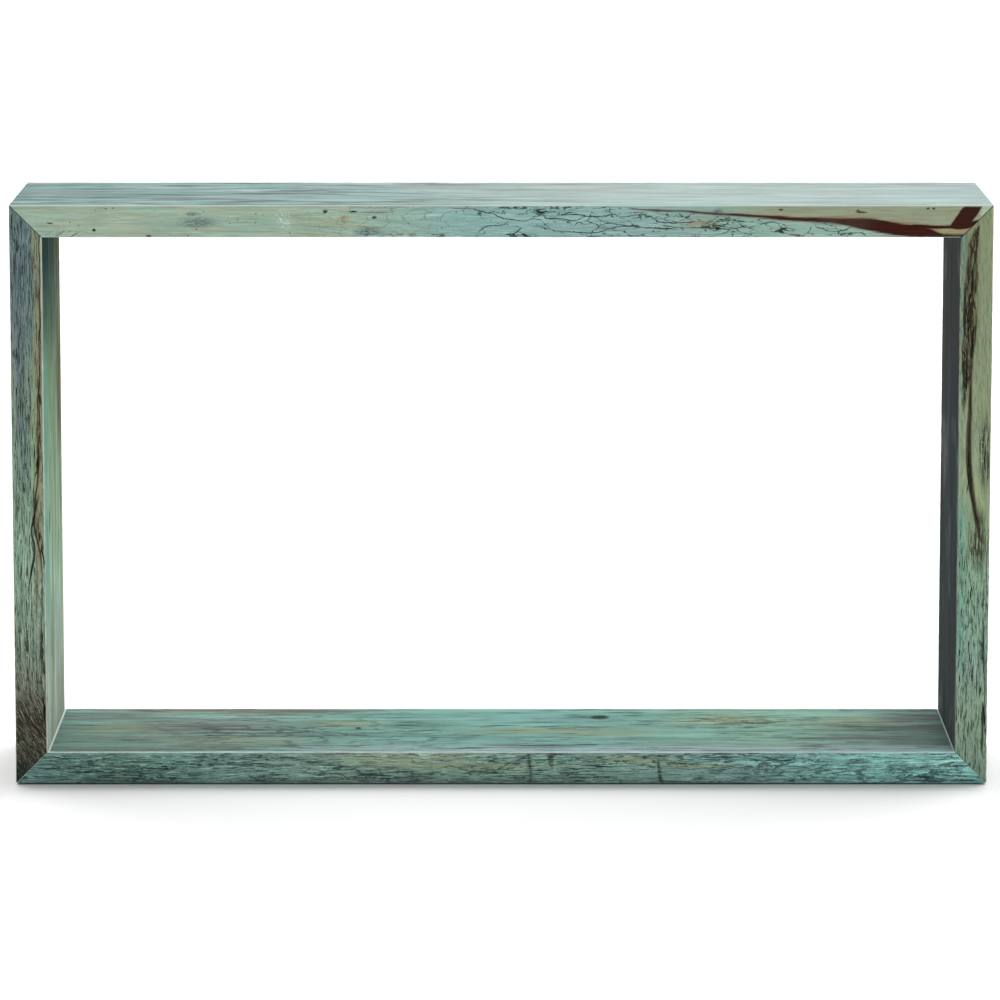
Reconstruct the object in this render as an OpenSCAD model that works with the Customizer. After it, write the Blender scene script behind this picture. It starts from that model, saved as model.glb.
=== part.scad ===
// Open frame console table.
// Four thick boards are mitred at their corners into a rectangle that stands on its lower board.
// Each mitre is held by a row of glued loose tenons, and the lower board rests on screwed-on glides.
// The origin is on the floor under the middle of the table: X is the width, Y the depth, Z up.
// The front faces -Y.

/* [Overall size] */
// Width across the outer faces of the side boards
table_w = 1524; // [600:1:2400]
// Depth of the boards, front to back
table_d = 356; // [260:1:600]
// Height of the top face above the floor
table_h = 914; // [400:1:1200]

/* [Boards] */
// Thickness of every board
board_t = 51; // [42:1:80]
// Radius of the eased arrises
arris_r = 2; // [0.5:0.5:4]

/* [Mitre tenons] */
// Number of tenons across each mitre
tenons_per_mitre = 4; // [2:1:4]
// Length of a tenon, half of it in each board
tenon_len = 44; // [24:1:54]
// Width of a tenon across the board, over its round edges
tenon_w = 45; // [20:1:60]
// Thickness of a tenon
tenon_t = 10; // [6:1:12]
// Distance from a board's edge to the middle of the nearest tenon
tenon_from_edge = 50; // [35:1:90]
// How far the tenon row lies from the middle of the mitre face, towards the inner corner
tenon_inset = 10; // [0:1:14]
// Glue gap around a tenon in its mortise
glue_gap = 0.1; // [0.05:0.05:0.3]
// Room for glue past each end of a tenon
mortise_end_gap = 1; // [0.5:0.5:3]

/* [Floor glides] */
// Diameter of a glide
glide_dia = 30; // [22:1:40]
// Thickness of a glide
glide_t = 5; // [4:0.5:8]
// How far a glide stands out of its pocket, which is the gap under the table
glide_proud = 2; // [1:0.5:3]
// Gap around a glide in its pocket
glide_gap = 0.3; // [0.1:0.1:1]
// Distance from the end of the table to the middle of a glide
glide_from_end = 90; // [80:1:250]
// Distance from the front or back edge to the middle of a glide
glide_from_edge = 50; // [30:1:100]

/* [Glide screws] */
// Length of a countersunk wood screw, over its head
screw_len = 25; // [16:1:35]
// Thread diameter
screw_dia = 4; // [3:0.5:5]
// Head diameter
screw_head_dia = 8; // [7:0.5:9]
// Height of the straight rim of the head
screw_rim = 0.4; // [0.2:0.1:0.6]
// How far the head lies inside the face of the glide
screw_recess = 0.8; // [0.4:0.1:1]
// Gap around the thread in the glide's hole
screw_hole_gap = 0.2; // [0.1:0.1:0.4]
// Gap around the thread in the board's pilot hole
pilot_gap = 0.05; // [0.02:0.01:0.1]
// Length of each arm of the cross recess, from tip to tip
drive_len = 4; // [3:0.1:5]
// Width of an arm of the cross recess
drive_w = 0.9; // [0.6:0.1:1.2]
// Depth of the cross recess
drive_depth = 1.5; // [1:0.1:1.8]

/* [Hidden] */
$fn = 64;
past = 1; // how far a cutting tool runs past the surface that it cuts

frame_h = table_h - glide_proud;
frame_mid_z = glide_proud + frame_h / 2;

tenon_pitch = (table_d - 2 * tenon_from_edge) / (tenons_per_mitre - 1);
mitre_mid = board_t / 2 + tenon_inset / sqrt(2); // from the outer faces to the tenon row

head_cone_h = (screw_head_dia - screw_dia) / 2;
head_h = screw_rim + head_cone_h;
screw_tip_len = screw_dia;
head_hole_r = screw_head_dia / 2 + screw_hole_gap;
glide_hole_r = screw_dia / 2 + screw_hole_gap;
seat_top = screw_recess + screw_rim + screw_head_dia / 2 - glide_hole_r;

// The corners of the frame as [name, side, level]: side is -1 left or 1 right, level -1 bottom or 1 top.
TOP_LEFT = ["top_left", -1, 1];
TOP_RIGHT = ["top_right", 1, 1];
BOTTOM_LEFT = ["bottom_left", -1, -1];
BOTTOM_RIGHT = ["bottom_right", 1, -1];
MITRES = [TOP_LEFT, TOP_RIGHT, BOTTOM_LEFT, BOTTOM_RIGHT];

// The places of the glides as [name, side, end]: end is -1 front or 1 rear.
FEET = [["front_left", -1, -1], ["front_right", 1, -1], ["rear_left", -1, 1], ["rear_right", 1, 1]];

function tenon_name(mitre, i) = str("tenon_", mitre[0], "_", i + 1);
function glide_name(foot) = str("glide_", foot[0]);
function screw_name(foot) = str("glide_screw_", foot[0]);

module rounded_rect(w, h, r) {
    square([w, h - 2 * r], center = true);
    square([w - 2 * r, h], center = true);
    for (x = [-1, 1], y = [-1, 1])
        translate([x * (w / 2 - r), y * (h / 2 - r)]) circle(r);
}

module stadium(w, t) {
    square([w - t, t], center = true);
    for (x = [-1, 1])
        translate([x * (w - t) / 2, 0]) circle(t / 2);
}

// Extrudes a section that is drawn as [Y, Z] along X.
module along_x(length) {
    rotate([90, 0, 90]) linear_extrude(length, center = true) children();
}

// Extrudes an outline that is drawn as [X, Z] along Y.
module along_y(length) {
    rotate([90, 0, 0]) linear_extrude(length, center = true) children();
}

// The outline of a board seen from the front: two 45 degree mitres, and the frame's eased corners.
module mitred_outline(length) {
    intersection() {
        polygon([
            [-length / 2, 0], [length / 2, 0],
            [length / 2 - board_t, -board_t], [-length / 2 + board_t, -board_t]
        ]);
        translate([0, -board_t]) rounded_rect(length, 2 * board_t, arris_r);
    }
}

// A board that lies along X with its outer face up, at height 0.
module mitred_board(length) {
    intersection() {
        along_x(length) translate([0, -board_t / 2]) rounded_rect(table_d, board_t, arris_r);
        along_y(table_d) mitred_outline(length);
    }
}

// Places children at the middle of a mitre's tenon row, with X square to the mitre face.
module at_mitre(mitre) {
    side = mitre[1];
    level = mitre[2];
    translate([side * (table_w / 2 - mitre_mid), 0, frame_mid_z + level * (frame_h / 2 - mitre_mid)])
        rotate([0, 45 * side * level, 0])
        children();
}

module at_tenon(i) {
    translate([0, -table_d / 2 + tenon_from_edge + i * tenon_pitch, 0]) children();
}

module mortises(mitre) {
    at_mitre(mitre)
        for (i = [0 : tenons_per_mitre - 1])
            at_tenon(i)
                along_x(tenon_len + 2 * mortise_end_gap)
                stadium(tenon_w + 2 * glue_gap, tenon_t + 2 * glue_gap);
}

module at_foot(foot) {
    translate([
        foot[1] * (table_w / 2 - glide_from_end),
        foot[2] * (table_d / 2 - glide_from_edge),
        0
    ]) children();
}

module top_board() {
    color("#93ada9") difference() {
        translate([0, 0, table_h]) mitred_board(table_w);
        mortises(TOP_LEFT);
        mortises(TOP_RIGHT);
    }
}

module bottom_board() {
    color("#5e766c") difference() {
        translate([0, 0, glide_proud]) rotate([0, 180, 0]) mitred_board(table_w);
        mortises(BOTTOM_LEFT);
        mortises(BOTTOM_RIGHT);
        for (foot = FEET)
            at_foot(foot) {
                cylinder(h = glide_t, d = glide_dia + 2 * glide_gap);
                cylinder(h = screw_recess + screw_len + past, d = screw_dia + 2 * pilot_gap);
            }
    }
}

module left_side_board() {
    color("#697d6b") difference() {
        translate([-table_w / 2, 0, frame_mid_z]) rotate([0, -90, 0]) mitred_board(frame_h);
        mortises(TOP_LEFT);
        mortises(BOTTOM_LEFT);
    }
}

module right_side_board() {
    color("#6a7961") difference() {
        translate([table_w / 2, 0, frame_mid_z]) rotate([0, 90, 0]) mitred_board(frame_h);
        mortises(TOP_RIGHT);
        mortises(BOTTOM_RIGHT);
    }
}

module tenon(mitre, i) {
    color("#c9a77c") at_mitre(mitre) at_tenon(i) along_x(tenon_len) stadium(tenon_w, tenon_t);
}

// A round glide with a stepped and countersunk hole, its worn face down.
module glide(foot) {
    color("#3b3029") at_foot(foot) difference() {
        cylinder(h = glide_t, d = glide_dia);
        translate([0, 0, -past]) cylinder(h = glide_t + 2 * past, r = glide_hole_r);
        translate([0, 0, -past]) cylinder(h = screw_recess + screw_rim + past, r = head_hole_r);
        translate([0, 0, screw_recess + screw_rim])
            cylinder(h = seat_top - screw_recess - screw_rim, r1 = screw_head_dia / 2, r2 = glide_hole_r);
    }
}

// A countersunk wood screw, head down, with a cross recess in its head.
module glide_screw(foot) {
    color("#b9b8b2") at_foot(foot) translate([0, 0, screw_recess]) difference() {
        rotate_extrude()
            polygon([
                [0, 0],
                [screw_head_dia / 2, 0],
                [screw_head_dia / 2, screw_rim],
                [screw_dia / 2, head_h],
                [screw_dia / 2, screw_len - screw_tip_len],
                [0, screw_len]
            ]);
        for (turn = [0, 90])
            rotate([0, 0, turn])
                translate([-drive_len / 2, -drive_w / 2, -past])
                cube([drive_len, drive_w, drive_depth + past]);
    }
}

top_board();
bottom_board();
left_side_board();
right_side_board();
for (mitre = MITRES, i = [0 : tenons_per_mitre - 1])
    tenon(mitre, i);
for (foot = FEET)
    glide(foot);
for (foot = FEET)
    glide_screw(foot);
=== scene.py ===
import math

import bmesh
import bpy
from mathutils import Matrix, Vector


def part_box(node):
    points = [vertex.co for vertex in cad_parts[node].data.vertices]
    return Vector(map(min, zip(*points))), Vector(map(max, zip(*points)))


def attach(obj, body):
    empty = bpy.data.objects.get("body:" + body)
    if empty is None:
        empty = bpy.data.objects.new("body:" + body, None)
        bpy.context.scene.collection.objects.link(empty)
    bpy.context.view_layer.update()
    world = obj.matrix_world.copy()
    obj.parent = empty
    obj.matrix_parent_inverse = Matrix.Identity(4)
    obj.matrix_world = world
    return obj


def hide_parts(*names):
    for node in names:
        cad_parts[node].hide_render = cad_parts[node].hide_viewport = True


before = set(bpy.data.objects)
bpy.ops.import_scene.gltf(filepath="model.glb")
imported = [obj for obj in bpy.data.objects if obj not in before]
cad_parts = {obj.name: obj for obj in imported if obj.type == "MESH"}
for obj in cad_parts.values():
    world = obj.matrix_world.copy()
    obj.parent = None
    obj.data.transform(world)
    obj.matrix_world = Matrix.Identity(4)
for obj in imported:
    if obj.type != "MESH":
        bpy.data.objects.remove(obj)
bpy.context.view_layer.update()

MM = 0.001

# ---------------------------------------------------------------------------------------------
# Sizes, all from the frame. Metres for the shapes, mm for the patterns of the wood.
# ---------------------------------------------------------------------------------------------

top_low, top_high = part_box("top_board")
bottom_low, bottom_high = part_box("bottom_board")
left_low, left_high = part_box("left_side_board")
right_low, right_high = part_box("right_side_board")

BOARD_T = top_high.z - top_low.z
HALF_T = BOARD_T / 2
ARRIS = 2 * MM
OUTER_LOW = Vector((left_low.x, left_low.y, bottom_low.z))
OUTER_HIGH = Vector((right_high.x, right_high.y, top_high.z))
MIDDLE = (OUTER_LOW + OUTER_HIGH) / 2
HALF = (OUTER_HIGH - OUTER_LOW) / 2

TOP_MID_MM = (top_low.z + top_high.z) / 2 / MM
BOTTOM_MID_MM = (bottom_low.z + bottom_high.z) / 2 / MM
SIDE_MID_MM = (right_low.x + right_high.x) / 2 / MM
HALF_T_MM = HALF_T / MM
HALF_D_MM = HALF.y / MM
HALF_W_MM = HALF.x / MM
TABLE_H_MM = OUTER_HIGH.z / MM

TENON_PLACES = {
    "top_left": (-1, 1), "top_right": (1, 1), "bottom_left": (-1, -1), "bottom_right": (1, -1),
}
TENONS_PER_MITRE = 4
FEET = ("front_left", "front_right", "rear_left", "rear_right")


# ---------------------------------------------------------------------------------------------
# Nodes and colours
# ---------------------------------------------------------------------------------------------

def linear(colour, gain=1.0):
    """An sRGB hex colour as linear RGBA, lifted by a gain."""
    parts = [int(colour[i:i + 2], 16) / 255 for i in (1, 3, 5)]
    parts = [p / 12.92 if p <= 0.04045 else ((p + 0.055) / 1.055) ** 2.4 for p in parts]
    return (*(p * gain for p in parts), 1)


def add(tree, kind, inputs=(), out=0, stops=(), curve=(), **settings):
    """Adds one shader node with its settings, links and values, and returns the output asked for."""
    node = tree.nodes.new("ShaderNode" + kind)
    for name, value in settings.items():
        setattr(node, name, value)
    for key, value in inputs.items() if isinstance(inputs, dict) else enumerate(inputs):
        if isinstance(value, bpy.types.NodeSocket):
            tree.links.new(value, node.inputs[key])
        elif value is not None:
            node.inputs[key].default_value = value
    if stops:
        elements = node.color_ramp.elements
        elements[0].position, elements[0].color = stops[0]
        elements[-1].position, elements[-1].color = stops[-1]
        for place, colour in stops[1:-1]:
            elements.new(place).color = colour
    if curve:
        points = node.mapping.curves[0].points
        points[0].location = curve[0]
        points[-1].location = curve[-1]
        for place in curve[1:-1]:
            points.new(*place)
        node.mapping.update()
    return node.outputs[out]


def new_material(name):
    material = bpy.data.materials.new(name)
    material.use_nodes = True
    tree = material.node_tree
    tree.nodes.clear()
    output = tree.nodes.new("ShaderNodeOutputMaterial")
    return material, tree, output.inputs["Surface"]


# ---------------------------------------------------------------------------------------------
# Patterns of the wood. Every place in them is in mm.
# ---------------------------------------------------------------------------------------------

def board_space(tree, along, through, middle):
    """The place on a board in mm: along its grain, through it from its middle, and across its depth."""
    place = add(tree, "TexCoord", out=3)
    parts = add(tree, "SeparateXYZ", [
        add(tree, "VectorMath", {0: place, "Scale": 1 / MM}, operation="SCALE")]).node.outputs
    from_middle = add(tree, "Math", [parts[through], middle], operation="SUBTRACT")
    grain = add(tree, "CombineXYZ", [parts[along], from_middle, parts["Y"]])
    return parts[along], from_middle, parts["Y"], grain


def ramp(tree, value, start, end, low=0.0, high=1.0):
    """A soft step: low before the start, high past the end."""
    return add(tree, "MapRange", [value, start, end, low, high], interpolation_type="SMOOTHSTEP")


def stretch(tree, grain, length, width, seed):
    """Grain coordinates in which a pattern one unit large comes out length by width mm."""
    return add(tree, "VectorMath", [
        grain, (1 / length, 1 / width, 1 / width), (seed, 1.7 * seed, 2.3 * seed)],
        operation="MULTIPLY_ADD")


def streaks(tree, grain, length, width, seed, detail=4):
    """Soft noise drawn out along the grain, around 0.5."""
    return add(tree, "TexNoise", {
        "Vector": stretch(tree, grain, length, width, seed), "Scale": 1, "Detail": detail, "Roughness": 0.66})


def wander(tree, grain, length, width, reach, seed):
    """Grain coordinates that drift by up to the reach in mm, so that lines drawn on them run unevenly."""
    drift = add(tree, "TexNoise", {
        "Vector": stretch(tree, grain, length, width, seed), "Scale": 1, "Detail": 4}, out=1)
    centred = add(tree, "VectorMath", [drift, (0.5, 0.5, 0.5)], operation="SUBTRACT")
    return add(tree, "VectorMath", [centred, (2 * reach, 2 * reach, 2 * reach), grain], operation="MULTIPLY_ADD")


def path(tree, along, points):
    """A line drawn through given (along, across) points in mm: how far across it lies at each place."""
    first, last = points[0][0], points[-1][0]
    low = min(across for _, across in points) - 1
    high = max(across for _, across in points) + 1
    drawn = add(tree, "FloatCurve", {"Value": add(tree, "MapRange", [along, first, last, 0, 1])}, curve=[
        ((place - first) / (last - first), (across - low) / (high - low)) for place, across in points])
    return add(tree, "MapRange", [drawn, 0, 1, low, high])


def vein(tree, along, across, spine, half_width, soft):
    """A mask of a streak with a drawn spine and half width. A negative half width leaves it out."""
    away = add(tree, "Math", [add(tree, "Math", [across, path(tree, along, spine)], operation="SUBTRACT")],
               operation="ABSOLUTE")
    edge = add(tree, "Math", [away, path(tree, along, half_width)], operation="SUBTRACT")
    return ramp(tree, edge, -soft, soft, 1, 0)


def drawn_lines(tree, along, across, lines, half_width):
    """A mask of thin lines, each drawn through listed (along, across) points in mm, thinner at its ends."""
    mask = None
    for points in lines:
        first, last = points[0][0], points[-1][0]
        widths = [(first, -0.3), (first + 3, half_width), ((first + last) / 2, half_width * 0.7),
                  (last - 3, half_width), (last, -0.3)]
        line = vein(tree, along, across, points, widths, 0.4)
        mask = line if mask is None else add(tree, "Math", [mask, line], operation="MAXIMUM")
    return mask


def spots(tree, along, across, places, soft=0.35):
    """A mask of oval spots, each given as (along, across, half length, half width) in mm."""
    mask = None
    for place_along, place_across, half_length, half_width in places:
        near = add(tree, "CombineXYZ", [
            add(tree, "Math", [along, 1 / half_length, -place_along / half_length], operation="MULTIPLY_ADD"),
            add(tree, "Math", [across, 1 / half_width, -place_across / half_width], operation="MULTIPLY_ADD")])
        spot = ramp(tree, add(tree, "VectorMath", [near], out=1, operation="LENGTH"), 1 - soft, 1 + soft, 1, 0)
        mask = spot if mask is None else add(tree, "Math", [mask, spot], operation="MAXIMUM")
    return mask


def zone_lines(tree, grain, length, width, line, seed):
    """The thin dark lines that fungi draw between their colonies: the edges of uneven cells."""
    uneven = wander(tree, grain, length * 0.5, width * 0.5, width * 0.3, seed)
    jagged = wander(tree, uneven, 8, 5, 2.2, seed + 3)
    edge = add(tree, "TexVoronoi", {"Vector": stretch(tree, jagged, length, width, seed), "Scale": 1},
               feature="DISTANCE_TO_EDGE")
    swell = add(tree, "MapRange", [streaks(tree, grain, 34, 18, seed + 5, 3), 0.35, 0.72, 0.35, 1.7])
    limit = add(tree, "Math", [swell, line / width], operation="MULTIPLY")
    near = add(tree, "Math", [edge, limit], operation="DIVIDE")
    return ramp(tree, near, 0.55, 1.5, 1, 0)


def pits(tree, grain, length, width, size, share, seed):
    """Scattered small holes and specks: a share of the cells carries one, its size a part of a cell."""
    cells = add(tree, "TexVoronoi", {"Vector": stretch(tree, grain, length, width, seed), "Scale": 1}).node.outputs
    chosen = add(tree, "Math", [
        add(tree, "SeparateXYZ", [cells["Color"]]), 1 - share], operation="GREATER_THAN")
    return add(tree, "Math", [ramp(tree, cells["Distance"], size * 0.5, size, 1, 0), chosen], operation="MULTIPLY")


def tones(tree, along, start, end, colours, gain):
    """Colours spaced evenly from the start to the end of a board."""
    last = len(colours) - 1
    return add(tree, "ValToRGB", [add(tree, "MapRange", [along, start, end, 0, 1])],
               stops=[(i / last, linear(colour, gain)) for i, colour in enumerate(colours)])


def figure(tree, colour, grain, sizes, seed):
    """Lightens and darkens a colour with streaks, each given as (length, width, strength)."""
    for i, (length, width, strength) in enumerate(sizes):
        gain = add(tree, "MapRange", [
            streaks(tree, grain, length, width, seed + 7 * i), 0.25, 0.75, 1 - strength, 1 + strength],
            clamp=False)
        colour = add(tree, "VectorMath", {0: colour, "Scale": gain}, operation="SCALE")
    return colour


def coats(tree, colour, layers):
    """Lays colours over each other, each given as (mask, colour, strength)."""
    for mask, over, strength in layers:
        weight = add(tree, "Math", [mask, strength], operation="MULTIPLY") if strength < 1 else mask
        colour = add(tree, "Mix", {0: weight, 6: colour, 7: over}, out=2, data_type="RGBA")
    return colour


def together(tree, *masks):
    """Where all the masks are at once."""
    product = masks[0]
    for mask in masks[1:]:
        product = add(tree, "Math", [product, mask], operation="MULTIPLY")
    return product


def past(tree, value, limit, soft):
    """A mask of all that lies past a limit. A negative softness takes what lies before it."""
    return ramp(tree, value, limit - soft, limit + soft)


def face_masks(tree, through, across):
    """Masks of a board's front, its upper or outer face, its other flat face, and the front arris between."""
    front = ramp(tree, across, -HALF_D_MM + 0.3, -HALF_D_MM + 0.9, 1, 0)
    plus = ramp(tree, through, HALF_T_MM - 0.9, HALF_T_MM - 0.3)
    minus = ramp(tree, through, -HALF_T_MM + 0.3, -HALF_T_MM + 0.9, 1, 0)
    near_front = ramp(tree, across, -HALF_D_MM + 2.4, -HALF_D_MM + 3.6, 1, 0)
    plus_arris = together(tree, near_front, ramp(tree, through, HALF_T_MM - 2.6, HALF_T_MM - 1.8))
    minus_arris = together(tree, near_front, ramp(tree, through, -HALF_T_MM + 1.8, -HALF_T_MM + 2.6, 1, 0))
    return front, plus, minus, plus_arris, minus_arris


def other_faces(tree, across, outer, front, outer_gain, rear_gain):
    """The wood away from the front: the plainer outer colour, and the front's at the rear, each darkened by the ratio
    of the front's light to its own: painted shade that offsets the stronger light on these faces.
    """
    dimmed = add(tree, "VectorMath", {
        0: outer, "Scale": ramp(tree, across, -HALF_D_MM + 2, -HALF_D_MM + 30, 1, outer_gain)}, operation="SCALE")
    rear_colour = add(tree, "VectorMath", {0: front, "Scale": rear_gain}, operation="SCALE")
    return coats(tree, dimmed, [(ramp(tree, across, HALF_D_MM - 3, HALF_D_MM - 0.5), rear_colour, 1)])


def outer_wood(tree, body, grain, rolling, dashes, colours, gain):
    """The broad outer face of an upright: dark streaks, lighter streaks and fine dashes over its body colour."""
    dark, light, dash = (linear(colour, gain) for colour in colours)
    return coats(tree, figure(tree, figure(tree, body, grain, FLAT_FIGURE, 91), rolling, FINE_FIGURE, 85), [
        (ramp(tree, streaks(tree, grain, 420, 34, 93, 4), 0.50, 0.62), dark, 0.7),
        (ramp(tree, streaks(tree, grain, 360, 26, 95, 4), 0.50, 0.62), light, 0.6),
        (ramp(tree, streaks(tree, rolling, 150, 7, 97, 4), 0.55, 0.62), dark, 0.6),
        (together(tree, dashes, ramp(tree, streaks(tree, grain, 300, 60, 63, 3), 0.42, 0.58)), dash, 0.85)])


def inside_cracks(tree, through, across):
    """A mask of the walls of cracks and pits, which lie deeper than the worn faces do, where painted shade darkens the
    hollows.
    """
    below_flat = add(tree, "Math", [HALF_T_MM, add(tree, "Math", [through], operation="ABSOLUTE")],
                     operation="SUBTRACT")
    below_edge = add(tree, "Math", [HALF_D_MM, add(tree, "Math", [across], operation="ABSOLUTE")],
                     operation="SUBTRACT")
    return ramp(tree, add(tree, "Math", [below_flat, below_edge], operation="MINIMUM"), 1.2, 2.0)


def mitre_seam(tree, along, through, middle, reach, wide):
    """A mask of a hair line along both mitres: where the way past the inner corner is the depth in the board."""
    from_middle = add(tree, "Math", [add(tree, "Math", [along, middle], operation="SUBTRACT")],
                      operation="ABSOLUTE")
    past_corner = add(tree, "Math", [from_middle, reach - HALF_T_MM], operation="SUBTRACT")
    off = add(tree, "Math", [add(tree, "Math", [past_corner, through], operation="SUBTRACT")],
              operation="ABSOLUTE")
    return ramp(tree, off, wide * 0.5, wide * 1.5, 1, 0)


def varnish(tree, surface, colour, relief, roughness, gloss):
    """A clear semi-gloss varnish over the wood, thin enough to show its relief and duller where it is thin."""
    normal = add(tree, "Bump", {"Strength": 0.7, "Distance": 0.5 * MM, "Height": relief})
    shader = add(tree, "BsdfPrincipled", {
        "Base Color": colour, "Roughness": roughness, "Normal": normal,
        "Coat Weight": add(tree, "Math", [gloss, 0.5], operation="MULTIPLY"), "Coat Roughness": 0.3,
        "Specular IOR Level": gloss})
    tree.links.new(shader, surface)


# ---------------------------------------------------------------------------------------------
# Materials. Light on a face says how brightly the studio lights it; each face's colours are divided by it, so the
# colours read as seen, and faces in weak light are painted lighter, faces in strong light darker: painted light and
# shade on one wood.
# ---------------------------------------------------------------------------------------------

TOP_FACE_LIGHT = 1.43
FRONT_LIGHT = 0.82
LEG_FRONT_LIGHT = 0.81
LEFT_INNER_LIGHT = 1.08
RIGHT_INNER_LIGHT = 0.80
SHELF_LIGHT = 1.07
SHELF_FRONT_LIGHT = 0.415
OUTER_LIGHT = 1.04
UNDER_LIGHT = 0.9
REAR_LIGHT = 1.8

FRONT_FIGURE = ((300, 14, 0.14), (90, 3.5, 0.16), (30, 1.2, 0.16))
FINE_FIGURE = ((60, 4, 0.16), (26, 1.2, 0.18))
FLAT_FIGURE = ((520, 60, 0.24), (260, 22, 0.34), (110, 9, 0.22))

ZONE_BLACK = linear("#0c1211")


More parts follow.
